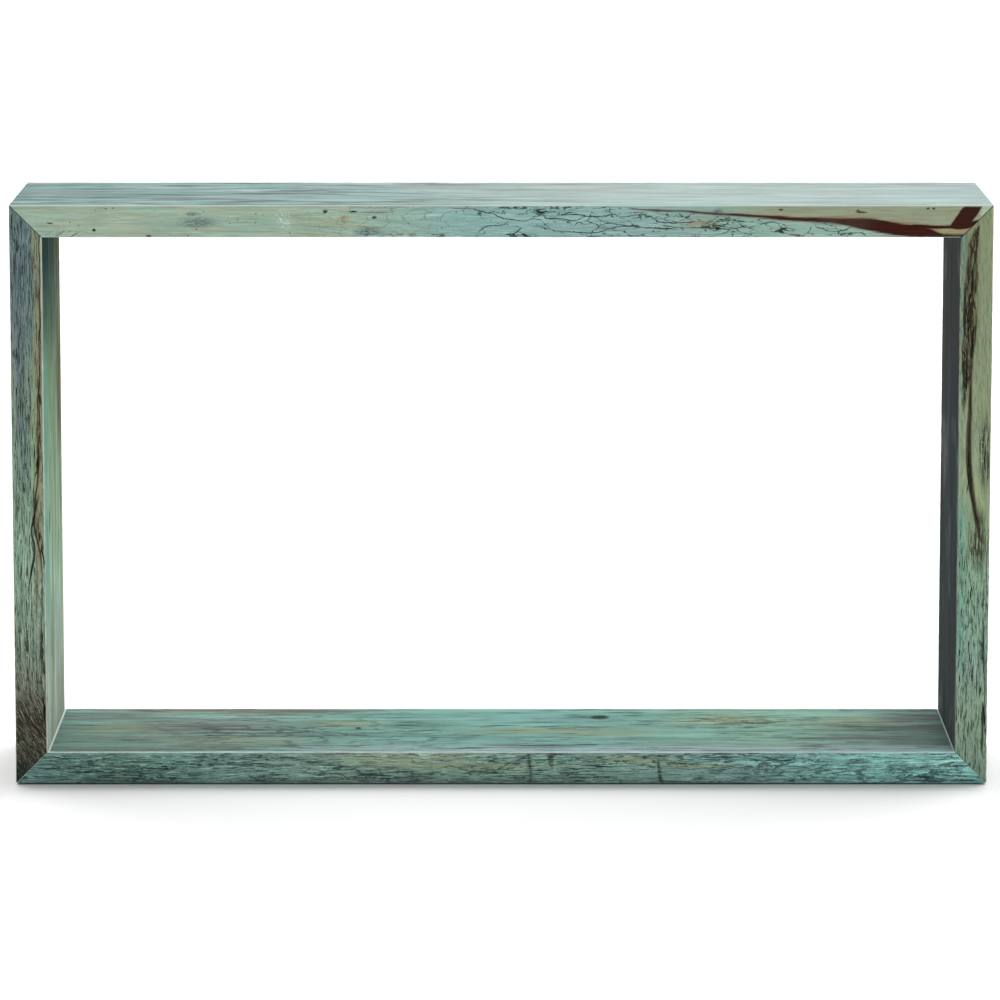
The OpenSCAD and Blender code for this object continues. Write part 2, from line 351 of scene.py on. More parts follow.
def sage_wood_with_heart_streak():
    """The top board: pale sage turning aqua to the right, with black zone lines and a maroon heart streak."""
    material, tree, surface = new_material("sage_wood_with_heart_streak")
    u, v, w, grain = board_space(tree, "X", "Z", TOP_MID_MM)
    front, top, under, arris, low_arris = face_masks(tree, v, w)
    lift = 1 / FRONT_LIGHT

    body = tones(tree, u, -HALF_W_MM, HALF_W_MM, [
        "#93a896", "#95aa99", "#97ad9c", "#90a695", "#86aaa5", "#86a8a4", "#87a5a0", "#8aab9d", "#8cab9c", "#89a597"], lift)
    body = figure(tree, body, grain, FRONT_FIGURE, 3)

    body = coats(tree, body, [
        (together(tree, ramp(tree, streaks(tree, grain, 130, 16, 81, 3), 0.44, 0.60), ramp(tree, u, -60, -220)),
         linear("#9fa587", lift), 0.4),
        (ramp(tree, streaks(tree, grain, 110, 10, 83, 3), 0.52, 0.64), linear("#7ea695", lift), 0.45)])

    soft = add(tree, "SeparateXYZ", [wander(tree, grain, 60, 14, 2.2, 11)]).node.outputs
    su, sv = soft["X"], soft["Y"]
    ragged = add(tree, "SeparateXYZ", [wander(tree, grain, 34, 3, 2.4, 13)]).node.outputs["Y"]
    heart_spine = [(190, 21.5), (235, 17), (287, 15.5), (326, 12), (365, 10), (394, 8), (432, 5), (485, 2),
                   (536, -1), (562, -4), (588, -8), (615, -12.5), (641, -15.5), (661, -18.5), (684, -23)]
    heart_width = [(190, -2.5), (204, 0.7), (287, 1.4), (326, 1.8), (394, 2.2), (432, 2.8), (485, 3.2), (510, 4),
                   (536, 6), (562, 9), (588, 10), (641, 9), (661, 7), (684, 3)]
    heart = vein(tree, su, ragged, heart_spine, heart_width, 1.8)
    foot = vein(tree, su, ragged, [(590, -8), (640, -8), (690, -9), (720, -6), (742, 2)],
                [(590, -3), (610, 1), (640, 3), (690, 2.6), (720, 5), (742, 2)], 1.2)
    branch = vein(tree, sv, su, [(-12, 702), (-4, 710), (26, 731)], [(-12, -4), (-6, 14), (26, 13)], 2.0)
    maroon = add(tree, "Math", [add(tree, "Math", [heart, foot], operation="MAXIMUM"), branch],
                 operation="MAXIMUM")

    red_halo = together(tree, vein(tree, su, sv, heart_spine, [
        (190, -2), (260, 2), (394, 3), (485, 5), (536, 9), (588, 13), (641, 12), (684, 6)], 3.5),
                        ramp(tree, streaks(tree, grain, 80, 2.4, 87, 4), 0.42, 0.56))
    over_streak = add(tree, "Math", [sv, path(tree, su, heart_spine)], operation="SUBTRACT")
    olive_side = together(tree, ramp(tree, over_streak, -1, 3), ramp(tree, u, 300, 430))
    tan_rim = together(tree, ramp(tree, over_streak, 18, 7), ramp(tree, over_streak, 0, 4),
                       ramp(tree, u, 470, 590), ramp(tree, u, 742, 700))
    corner_sage = together(tree, ramp(tree, u, 738, 746), ramp(tree, v, -8, 4))
    under_tan = spots(tree, su, sv, [(722, -17, 34, 7)], 0.4)

    brown_haze = spots(tree, su, sv, [(310, -4, 26, 8), (-243, 4, 9, 4)], 0.7)
    smudge = together(tree, spots(tree, su, sv, [(-471, -2, 27, 8), (-478, 12, 12, 3), (-205, -16, 20, 7),
                                                 (335, 14, 8, 6)], 0.6),
                      ramp(tree, streaks(tree, grain, 6, 2.4, 17, 4), 0.36, 0.52))
    pale_speckle = together(tree, spots(tree, su, sv, [(-336, 4, 12, 12)], 0.6),
                            ramp(tree, streaks(tree, grain, 3.5, 2.6, 19, 2), 0.50, 0.60))

    network = zone_lines(tree, grain, 40, 12, 0.30, 4)
    fine_network = zone_lines(tree, grain, 26, 7, 0.22, 9)
    jagged = add(tree, "SeparateXYZ", [wander(tree, grain, 9, 5, 2.4, 15)]).node.outputs
    drawn = drawn_lines(tree, jagged["X"], jagged["Y"], [
        [(-44, 19), (-30, 15), (-14, 12), (6, 4), (36, 1), (52, 4), (68, -4), (81, -14), (110, -16), (141, -18),
         (165, -12), (185, -8), (216, -7)],
        [(48, 18), (62, 13), (71, 5), (92, 4), (110, 1), (123, 5), (138, 8), (154, 1), (182, -5), (224, -10),
         (271, -12)],
        [(92, 7), (115, 11), (138, 7), (159, 8), (173, 11), (185, 7), (216, 10), (240, 1), (255, -2), (300, -1)],
        [(-36, -22), (-30, -12), (-20, -7), (4, -5), (12, 2)], [(112, -15), (118, -2), (128, -6)],
        [(326, -4), (349, 1), (366, 1), (380, -2)], [(326, -10), (349, -12), (380, -6)],
        [(400, -5), (424, -2), (432, -9), (446, -16)], [(484, -3), (497, -12), (521, -15), (544, -4)],
        [(536, -19), (552, -18), (566, -24)], [(250, -6), (290, -10), (322, -6)]], 0.75)
    below_streak = ramp(tree, over_streak, -2, -4)
    zone_region = together(tree, ramp(tree, su, -70, -20), ramp(tree, su, 400, 340),
                           ramp(tree, streaks(tree, grain, 50, 12, 21, 3), 0.44, 0.50), add(
                               tree, "Math", [below_streak, ramp(tree, u, 215, 185)], operation="MAXIMUM"))
    far_region = together(tree, ramp(tree, su, 400, 420), ramp(tree, su, 560, 540), below_streak,
                          ramp(tree, streaks(tree, grain, 60, 30, 23, 2), 0.52, 0.56))
    fine_region = together(tree, ramp(tree, su, 30, 200), ramp(tree, su, 470, 380), below_streak,
                           ramp(tree, streaks(tree, grain, 55, 22, 29, 3), 0.44, 0.54))
    lines = add(tree, "Math", [
        together(tree, network, add(tree, "Math", [zone_region, far_region], operation="MAXIMUM")),
        together(tree, fine_network, fine_region)], operation="MAXIMUM")
    lines = add(tree, "Math", [lines, drawn], operation="MAXIMUM")
    blots = together(tree, spots(tree, su, sv, [(20, 22, 36, 3.5), (62, 15, 14, 5), (96, 21, 26, 3), (330, -9, 16, 5),
                                                (440, -15, 12, 5), (30, -23, 24, 3), (535, -20, 11, 3)], 0.5),
                     ramp(tree, streaks(tree, grain, 10, 3.2, 31, 4), 0.47, 0.53))
    left_lines = together(tree, zone_lines(tree, grain, 30, 9, 0.26, 14), ramp(tree, su, -330, -250),
                          ramp(tree, su, 20, -60))
    low_marks = together(tree, ramp(tree, v, -17, -22), ramp(tree, u, -230, -205), ramp(tree, u, -60, -80),
                         ramp(tree, streaks(tree, grain, 12, 5, 37, 4), 0.50, 0.55))
    leaning = add(tree, "VectorMath", [grain, add(tree, "CombineXYZ", [
        0.0, add(tree, "Math", [u, -0.55], operation="MULTIPLY"), 0.0])], operation="ADD")
    feathers = together(tree, spots(tree, su, sv, [(-676, -20, 34, 7)], 0.3),
                        ramp(tree, streaks(tree, leaning, 24, 2.0, 43, 2), 0.56, 0.60))
    dots = add(tree, "Math", [
        spots(tree, su, sv, [(-630, -13.5, 3, 2.4), (-698, -3, 4.5, 1.3), (-546, -23, 4, 2), (-273, 15.5, 3.5, 2.6),
                             (-229, 15, 6, 1.6), (-196, 6, 4, 2), (557, 14, 9, 1.6), (552, 16, 3, 2.4), (432, 18, 4, 1.5),
                             (659, 20, 2.4, 1.4), (668, 20, 2.4, 1.4)], 0.4),
        together(tree, pits(tree, grain, 13, 8, 0.15, 0.42, 47), ramp(tree, u, 60, -40))], operation="MAXIMUM")
    red_marks = spots(tree, su, sv, [(-196, 14, 24, 0.9), (456, -21, 9, 1.6), (-60, 20, 20, 0.7)], 0.5)

    areas = coats(tree, body, [
        (olive_side, linear("#8b8f72", lift), 0.85), (tan_rim, linear("#94896a", lift), 0.7),
        (corner_sage, linear("#9fb49b", lift), 0.9), (under_tan, linear("#8c8c66", lift), 0.8),
        (brown_haze, linear("#8f7f5c", lift), 0.55), (smudge, linear("#4c5c60", lift), 0.75),
        (red_halo, linear("#7c4f3c", lift), 0.65),
        (pale_speckle, linear("#c4d0cf", lift), 0.7)])
    front_colour = coats(tree, figure(tree, areas, grain, ((70, 5, 0.14), (30, 1.4, 0.24)), 85), [
        (left_lines, linear("#5e5a44", lift), 0.45), (red_marks, linear("#6e3c36", lift), 0.75),
        (lines, ZONE_BLACK, 0.9), (blots, ZONE_BLACK, 0.9), (low_marks, ZONE_BLACK, 0.85),
        (feathers, ZONE_BLACK, 0.7), (dots, ZONE_BLACK, 0.85),
        (maroon, figure(tree, tones(tree, u, 190, 720, ["#41150d", "#39110b", "#300e09"], lift), grain,
                        ((90, 3, 0.5), (30, 1.2, 0.3)), 51), 0.97)])

    # The top face grows paler from the middle to the right: partly the wood, partly painted glare of the light from
    # behind.
    flat = tones(tree, u, -HALF_W_MM, HALF_W_MM, [
        "#699a94", "#75a59e", "#86b2aa", "#94bcb5", "#9ec1bb", "#a6c3be", "#a5c3bd", "#9ab7b1", "#99b8b2", "#8fb3ad"],
        1 / TOP_FACE_LIGHT)
    flat = figure(tree, flat, grain, FLAT_FIGURE, 57)
    rosy = ramp(tree, streaks(tree, grain, 420, 30, 61, 4), 0.53, 0.62)
    dusk = together(tree, ramp(tree, streaks(tree, grain, 150, 20, 67, 5), 0.50, 0.58), ramp(tree, u, 120, -260, 0.45, 1))
    # Pale streaks of painted sheen over the top face.
    painted_sheen = ramp(tree, streaks(tree, grain, 190, 22, 69, 5), 0.52, 0.60)
    flat = coats(tree, flat, [(rosy, linear("#b5aca6", 1 / TOP_FACE_LIGHT), 0.4),
                              (painted_sheen, linear("#c4dcd8", 1 / TOP_FACE_LIGHT), 0.55),
                              (dusk, linear("#35545a", 1 / TOP_FACE_LIGHT), 0.75)])
    plain = other_faces(tree, w, body, front_colour, FRONT_LIGHT / UNDER_LIGHT, FRONT_LIGHT / REAR_LIGHT)
    # Painted highlight along the top's front arris, and painted shade on the walls of the cracks and pits.
    colour = coats(tree, plain, [(ramp(tree, v, HALF_T_MM - 3, HALF_T_MM - 0.3), flat, 1), (front, front_colour, 1),
                                (arris, linear("#c6d4ce", lift), 0.75),
                                (mitre_seam(tree, u, v, 0, HALF_W_MM, 0.8), linear("#20231c"), 0.75),
                                (inside_cracks(tree, v, w), linear("#1a1712"), 0.95)])
    relief = add(tree, "Math", [streaks(tree, grain, 30, 1.0, 71), -1.0, add(tree, "Math", [
        lines, -0.5], operation="MULTIPLY")], operation="MULTIPLY_ADD")
    gloss = coats(tree, ramp(tree, v, -25, 25, 0.10, 0.11), [
        (together(tree, maroon, front), (0, 0, 0, 1), 0.9), (top, (0.4, 0.4, 0.4, 1), 1)])
    varnish(tree, surface, colour, relief, 0.42, gloss)
    return material


def dark_teal_wood():
    """The bottom board: dark teal with crowded black dashes on its edge, lighter and calmer on the shelf."""
    material, tree, surface = new_material("dark_teal_wood")
    u, v, w, grain = board_space(tree, "X", "Z", BOTTOM_MID_MM)
    front, shelf, under, arris, low_arris = face_masks(tree, v, w)
    # The edge's colours are lifted 2.4 times against its weak light: painted light on a face that stands in shade.
    lift = 1 / SHELF_FRONT_LIGHT
    rolling = wander(tree, grain, 170, 34, 7, 5)
    soft = add(tree, "SeparateXYZ", [wander(tree, grain, 60, 14, 2.5, 11)]).node.outputs
    su, sv = soft["X"], soft["Y"]

    body = tones(tree, u, -HALF_W_MM, HALF_W_MM, [
        "#506d6b", "#547168", "#5f7b75", "#667c72", "#6a8279", "#668177", "#66827b", "#64827f", "#6f9b96", "#6b9694"], lift)
    body = figure(tree, body, rolling, ((300, 9, 0.2), (90, 3.0, 0.2), (24, 1.0, 0.1)), 3)
    aqua = together(tree, ramp(tree, streaks(tree, rolling, 150, 7, 13), 0.50, 0.60), ramp(tree, u, 250, 420))
    olive = spots(tree, su, sv, [(-170, 15, 80, 10), (-85, 17, 40, 7), (210, 12, 60, 6), (300, 2, 60, 4), (-60, 2, 130, 5)], 0.8)
    low_dusk = together(tree, ramp(tree, v, -8, -22), ramp(tree, streaks(tree, rolling, 240, 12, 19), 0.42, 0.56))
    dashes = ramp(tree, streaks(tree, rolling, 46, 1.7, 23, 5), 0.54, 0.59)
    threads = ramp(tree, streaks(tree, wander(tree, rolling, 40, 10, 3, 27), 80, 1.0, 29, 5), 0.545, 0.59)
    patches = ramp(tree, streaks(tree, grain, 130, 30, 31, 3), 0.38, 0.60)
    weave = together(tree, zone_lines(tree, rolling, 44, 5, 0.42, 35), ramp(tree, streaks(tree, grain, 90, 16, 39, 3), 0.44, 0.54))
    sprinkle = ramp(tree, streaks(tree, rolling, 22, 1.6, 43, 4), 0.56, 0.63)
    checks = together(tree, add(tree, "Math", [dashes, threads], operation="MAXIMUM"),
                      ramp(tree, patches, 0.0, 1.0, 0.5, 1.0))
    posts = add(tree, "Math", [
        vein(tree, sv, su, [(-25, 46), (0, 45), (25, 41)], [(-25, 3), (-4, 1.5), (8, 3.5), (25, 2)], 3.5),
        vein(tree, sv, su, [(-26, 252), (6, 246), (14, 245)], [(-26, 2.4), (6, 1.8), (14, -3)], 1.8),
        ], operation="MAXIMUM")
    posts = add(tree, "Math", [posts, vein(tree, sv, su, [(-4, 80), (24, 76)], [(-4, -3), (2, 3), (24, 4)], 2.5)],
                operation="MAXIMUM")
    posts = together(tree, posts, ramp(tree, streaks(tree, grain, 5, 6, 33, 4), 0.30, 0.44))
    pale_rays = add(tree, "Math", [
        vein(tree, su, sv, [(630, -3), (725, 13)], [(630, -1), (650, 0.9), (725, 0.8)], 0.8),
        vein(tree, su, sv, [(420, -1), (500, 12)], [(420, -1), (440, 0.4), (500, -0.6)], 0.8)], operation="MAXIMUM")

    areas = coats(tree, body, [
        (aqua, linear("#78aea7", lift), 0.6), (olive, linear("#757a5a", lift), 0.55),
        (low_dusk, linear("#3d4f50", lift), 0.55), (pale_rays, linear("#93b9a6", lift), 0.8)])
    front_colour = coats(tree, figure(tree, areas, rolling, ((60, 4, 0.16), (30, 1.2, 0.16)), 85), [
        (posts, linear("#23281f", lift), 0.85), (weave, linear("#1d2a2b", lift), 0.75),
        (sprinkle, linear("#9cc4b2", lift), 0.45), (checks, linear("#0f1816", lift), 0.92)])

    flat_lift = 1 / SHELF_LIGHT
    # The shelf darkens sharply at its right end: painted reflection of the right board's charcoal inner face.
    flat = tones(tree, u, -HALF_W_MM, HALF_W_MM, [
        "#708c83", "#6f897d", "#71837c", "#6e968b", "#6e9a90", "#709e96", "#73a094", "#769d8a", "#6e9184", "#3e4f4b"],
        flat_lift)
    flat_grain = wander(tree, grain, 220, 60, 10, 37)
    flat = figure(tree, flat, flat_grain, FLAT_FIGURE, 41)
    tan = together(tree, spots(tree, su, w, [(-590, 0, 70, 44), (-250, 44, 50, 24), (100, -20, 130, 34), (350, 80, 90, 40),
                                             (565, 70, 70, 44), (-420, -90, 90, 30)], 0.8),
                   ramp(tree, streaks(tree, flat_grain, 140, 20, 43, 4), 0.36, 0.56))
    plum = together(tree, spots(tree, su, w, [(-480, 20, 110, 40), (-620, 120, 60, 30), (40, -128, 90, 16),
                                              (300, -140, 120, 18), (-300, 150, 90, 16), (560, -70, 90, 26)], 0.8),
                    ramp(tree, streaks(tree, flat_grain, 120, 14, 47, 4), 0.38, 0.56))
    aqua_flat = ramp(tree, streaks(tree, flat_grain, 300, 22, 53, 3), 0.52, 0.64)
    dark_flat = ramp(tree, streaks(tree, flat_grain, 90, 9, 59, 5), 0.53, 0.60)
    dark_zone = ramp(tree, streaks(tree, grain, 200, 90, 63, 2), 0.40, 0.56, 0.35, 1)
    threads_flat = together(tree, zone_lines(tree, wander(tree, grain, 60, 30, 16, 75), 110, 26, 1.5, 77),
                            spots(tree, su, w, [(-330, -20, 190, 130), (-150, -60, 90, 60), (380, 60, 130, 60)], 0.8))
    # A pale lavender band behind the shelf's front edge, towards the left: painted reflection of the studio light.
    near_front = together(tree, ramp(tree, w, -110, -150), ramp(tree, streaks(tree, flat_grain, 300, 18, 61, 3), 0.40, 0.54),
                          ramp(tree, u, -420, -200))
    knot = spots(tree, su, w, [(159, 104, 15, 16), (-228, 14, 5, 7)], 0.35)
    knot_tail = spots(tree, su, w, [(200, 100, 70, 8), (-120, 40, 60, 30)], 0.8)
    # Grey patches near the right end of the shelf: painted reflection of the right board's charcoal inner face.
    painted_charcoal_reflection = together(tree, spots(tree, su, w, [(610, 30, 75, 36), (670, 90, 60, 90)], 0.7),
                     ramp(tree, streaks(tree, flat_grain, 120, 18, 67, 4), 0.34, 0.56))
    rear_bark = together(tree, spots(tree, su, w, [(-420, 168, 190, 30)], 0.5),
                         ramp(tree, streaks(tree, flat_grain, 200, 20, 71, 3), 0.40, 0.56))
    shelf_colour = coats(tree, flat, [
        (aqua_flat, linear("#84bab0", flat_lift), 0.55), (tan, linear("#8f9570", flat_lift), 0.75),
        (plum, linear("#5e565c", flat_lift), 0.75), (near_front, linear("#b0bec8", flat_lift), 0.65),
        (rear_bark, linear("#6b6355", flat_lift), 0.8), (knot_tail, linear("#3f5f55", flat_lift), 0.4),
        (painted_charcoal_reflection, linear("#3d4042", flat_lift), 0.8), (together(tree, dark_flat, dark_zone), linear("#1f3434", flat_lift), 0.8),
        (threads_flat, linear("#1c2f30", flat_lift), 0.6),
        (knot, linear("#0e1c1a", flat_lift), 0.95),
        # Bright lines where the shelf meets the uprights: painted highlights.
        (ramp(tree, u, -HALF_W_MM + 54.5, -HALF_W_MM + 53), linear("#e8eeec"), 0.9),
        (ramp(tree, u, HALF_W_MM - 53.2, HALF_W_MM - 52.2), linear("#c8d4d4"), 0.7)])

    plain = coats(tree, figure(tree, body, rolling, FINE_FIGURE, 85), [(checks, linear("#16201e", lift), 0.8)])
    plain = other_faces(tree, w, plain, front_colour, SHELF_FRONT_LIGHT / UNDER_LIGHT, SHELF_FRONT_LIGHT / REAR_LIGHT)
    # Painted highlight along the shelf's chipped front arris and on the mitre seams, and painted shade on the walls of
    # the cracks and pits.
    colour = coats(tree, plain, [
        (front, front_colour, 1), (shelf, shelf_colour, 1),
        (together(tree, arris, ramp(tree, streaks(tree, grain, 120, 6, 73), 0.30, 0.55, 0.5, 1)), linear("#f4fbfb"), 0.95),
        (mitre_seam(tree, u, add(tree, "Math", [v, -1], operation="MULTIPLY"), 0, HALF_W_MM, 0.8), linear("#a9b8a4", lift), 0.7),
        (inside_cracks(tree, v, w), linear("#10150f"), 0.95)])
    relief = add(tree, "Math", [checks, -0.8, add(tree, "Math", [
        streaks(tree, grain, 30, 1.0, 79), -0.6], operation="MULTIPLY")], operation="MULTIPLY_ADD")
    gloss = coats(tree, ramp(tree, v, -25, 25, 0.08, 0.09), [(shelf, (0.05, 0.05, 0.05, 1), 1)])
    varnish(tree, surface, colour, relief, 0.5, gloss)
    return material


def storm_grey_wood():
    """The left board: blue-grey and moss, its grain swept aside in the brown wood at its foot."""
    material, tree, surface = new_material("storm_grey_wood")
    u, v, w, grain = board_space(tree, "Z", "X", -SIDE_MID_MM)
    front, inner, outer, arris, outer_arris = face_masks(tree, v, w)
    lift = 1 / LEG_FRONT_LIGHT
    sweep = path(tree, u, [(0, -92), (40, -62), (80, -34), (120, -12), (165, -1), (300, 0), (914, 0)])
    swept = add(tree, "VectorMath", [grain, add(tree, "CombineXYZ", [0.0, sweep, 0.0])], operation="ADD")
    rolling = wander(tree, swept, 120, 30, 5, 5)
    soft = add(tree, "SeparateXYZ", [wander(tree, grain, 50, 14, 2.5, 11)]).node.outputs
    su, sv = soft["X"], soft["Y"]

    body = tones(tree, u, 0, TABLE_H_MM, [
        "#53635c", "#7c7663", "#8d9e8a", "#90a992", "#88a58d", "#819b84", "#7d8e79", "#6b7c78", "#62787b", "#657a77"], lift)
    body = figure(tree, body, rolling, ((260, 9, 0.22), (90, 3.0, 0.22), (20, 1.0, 0.12)), 3)
    dusk = together(tree, ramp(tree, streaks(tree, rolling, 240, 14, 13, 3), 0.44, 0.58), ramp(tree, u, 380, 520),
                    ramp(tree, v, 16, 2))
    moss = together(tree, ramp(tree, v, 4, 15), ramp(tree, u, 330, 450))
    teal = ramp(tree, streaks(tree, rolling, 200, 8, 17, 3), 0.52, 0.64)
    foot_brown = together(tree, ramp(tree, u, 160, 105), ramp(tree, streaks(tree, rolling, 60, 9, 19, 3), 0.36, 0.54))
    foot_corner = together(tree, ramp(tree, u, 44, 22), ramp(tree, sv, 6, -6))
    crack_stain = vein(tree, su, sv, [(250, 6), (330, 12), (390, 15), (440, 12), (500, 17), (620, 19), (760, 20), (880, 21)],
                       [(250, -2), (300, 2), (390, 4), (500, 3), (620, 2), (760, 2), (880, -1)], 3.0)
    crack = vein(tree, su, sv, [(180, 18), (230, 17), (300, 20), (385, 14), (420, 9), (450, 10), (480, 14), (520, 16),
                                (600, 15.5), (640, 20), (760, 21), (850, 21.5)],
                 [(180, -1), (200, 0.9), (300, 0.5), (385, 1.2), (420, 2.0), (480, 1.3), (510, 2.4), (560, 0.9), (640, 1.0),
                  (760, 0.6), (850, -0.5)], 0.7)
    low_crack = vein(tree, su, sv, [(300, -2), (340, 3), (380, 8), (402, 4), (425, 9)],
                     [(300, -1), (330, 1.1), (380, 2.0), (425, -0.6)], 0.9)
    dashes = add(tree, "Math", [
        ramp(tree, streaks(tree, rolling, 30, 1.6, 23, 5), 0.545, 0.585),
        ramp(tree, streaks(tree, rolling, 90, 1.1, 25, 5), 0.56, 0.60)], operation="MAXIMUM")
    curly = wander(tree, swept, 24, 12, 4, 27)
    foot_lines = together(tree, ramp(tree, streaks(tree, curly, 30, 1.2, 29, 5), 0.515, 0.55), ramp(tree, u, 260, 120, 0.4, 1),
                          ramp(tree, u, 300, 240))
    foot_cells = together(tree, zone_lines(tree, curly, 26, 4, 0.40, 37), ramp(tree, u, 170, 110))
    pores = pits(tree, swept, 6, 3.2, 0.22, 0.45, 31)
    foot_lines = add(tree, "Math", [foot_lines, foot_cells], operation="MAXIMUM")
    checks = add(tree, "Math", [add(tree, "Math", [dashes, foot_lines], operation="MAXIMUM"),
                                add(tree, "Math", [crack, low_crack], operation="MAXIMUM")], operation="MAXIMUM")
    knots = spots(tree, su, sv, [(508, 14, 6, 2.4), (394, 16, 7, 1.6), (118, 20, 8, 1.8), (186, 21, 12, 1.8)], 0.4)
    areas = coats(tree, body, [
        (dusk, linear("#56656c", lift), 0.75), (teal, linear("#5f8a7c", lift), 0.5), (moss, linear("#86885f", lift), 0.6),
        (foot_brown, linear("#6f6651", lift), 0.65), (foot_corner, linear("#37504b", lift), 0.9),
        (crack_stain, linear("#84693e", lift), 0.65)])
    front_colour = coats(tree, figure(tree, areas, rolling, ((60, 4, 0.14), (26, 1.2, 0.18)), 85), [
        (pores, linear("#1d2623", lift), 0.6),
        (together(tree, ramp(tree, streaks(tree, rolling, 20, 1.4, 57, 4), 0.57, 0.64)), linear("#9fb5a8", lift), 0.4),
        (checks, linear("#12140f", lift), 0.92), (knots, linear("#16120d", lift), 0.9)])

    inner_lift = 1 / LEFT_INNER_LIGHT
    # The inner face runs from pale near the foot to dark teal under the top board: partly the wood's own colour,
    # partly painted shade cast by the top board.
    flat = tones(tree, u, 0, TABLE_H_MM, [
        "#bcc5bf", "#c3d1c3", "#bad1bf", "#afceb9", "#a2c0a5", "#95b395", "#85a183", "#6a826f", "#425a58", "#2c4042"],
        inner_lift)
    flat = figure(tree, flat, grain, FLAT_FIGURE, 37)
    aqua = together(tree, ramp(tree, w, -70, -130), ramp(tree, u, 160, 320), ramp(tree, u, 740, 640))
    slits = ramp(tree, streaks(tree, grain, 160, 14, 59, 4), 0.54, 0.60)
    rear_brown = together(tree, ramp(tree, w, 60, 130), ramp(tree, u, 420, 560), ramp(tree, streaks(tree, grain, 200, 30, 61, 3), 0.36, 0.52))
    gold = together(tree, ramp(tree, streaks(tree, grain, 420, 40, 41, 3), 0.46, 0.60), ramp(tree, w, -100, -40))
    plum = together(tree, ramp(tree, streaks(tree, grain, 260, 34, 43, 3), 0.50, 0.62), ramp(tree, w, -60, 60))
    dash = spots(tree, su, w, [(405, -88, 22, 6)], 0.4)
    inner_colour = coats(tree, flat, [
        (aqua, linear("#86b8aa", inner_lift), 0.75), (gold, linear("#8f955f", inner_lift), 0.55),
        (plum, linear("#86808a", inner_lift), 0.45), (slits, linear("#3f5a50", inner_lift), 0.5),
        (rear_brown, linear("#5a4d38", inner_lift), 0.7), (dash, linear("#26302b", inner_lift), 0.9)])

    # A pale line along the inner front arris: chipped wear and a painted highlight.
    worn = together(tree, arris, ramp(tree, streaks(tree, grain, 60, 6, 47), 0.30, 0.50, 0.35, 1))
    plain = outer_wood(tree, body, grain, rolling, dashes, ("#56686a", "#a3a27e", "#1a211c"), lift)
    plain = other_faces(tree, w, plain, front_colour, LEG_FRONT_LIGHT / OUTER_LIGHT, LEG_FRONT_LIGHT / REAR_LIGHT)
    # Painted shade on the walls of the cracks and pits.
    colour = coats(tree, plain, [
        (front, front_colour, 1), (inner, inner_colour, 1), (worn, linear("#d3d6c2", lift), 0.75),
        (together(tree, mitre_seam(tree, u, add(tree, "Math", [v, -1], operation="MULTIPLY"), MIDDLE.z / MM, HALF.z / MM, 0.7),
                  ramp(tree, u, 400, 500)), linear("#20231c"), 0.8),
        (inside_cracks(tree, v, w), linear("#15120d"), 0.95)])
    relief = add(tree, "Math", [checks, -0.8, add(tree, "Math", [
        streaks(tree, swept, 30, 1.0, 53), -0.6], operation="MULTIPLY")], operation="MULTIPLY_ADD")
    gloss = coats(tree, ramp(tree, v, -25, 25, 0.12, 0.13), [(inner, (0, 0, 0, 1), 1)])
    varnish(tree, surface, colour, relief, 0.5, gloss)
    return material


